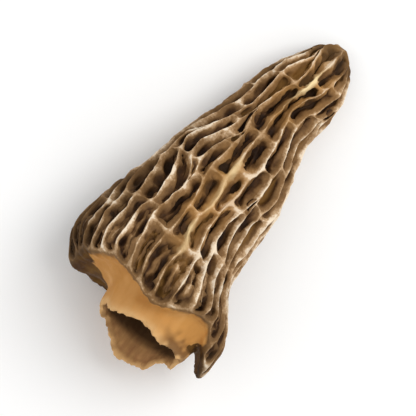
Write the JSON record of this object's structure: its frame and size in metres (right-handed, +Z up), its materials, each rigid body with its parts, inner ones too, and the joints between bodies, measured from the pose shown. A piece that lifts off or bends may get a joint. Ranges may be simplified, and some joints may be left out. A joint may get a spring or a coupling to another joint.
{
  "type": "morel mushroom",
  "caption": "Dried morel lying on its side: a tapering hollow cap covered in wavy raised ribs and pits, with a short torn stem stub open to the hollow inside.",
  "frame": {"origin": "centre of the box's underside, on the surface the mushroom lies on", "axes": "+X along the mushroom toward the cap's tip, +Z up from the surface"},
  "size_m": [0.0434, 0.0222, 0.0181],
  "materials": {
    "morel_flesh": "dry matte fungus flesh: cream rib crests, dark brown pits, tan stem stub, brown inside"
  },
  "bodies": {
    "root": {"morel": "morel_flesh"}
  },
  "joints": []
}
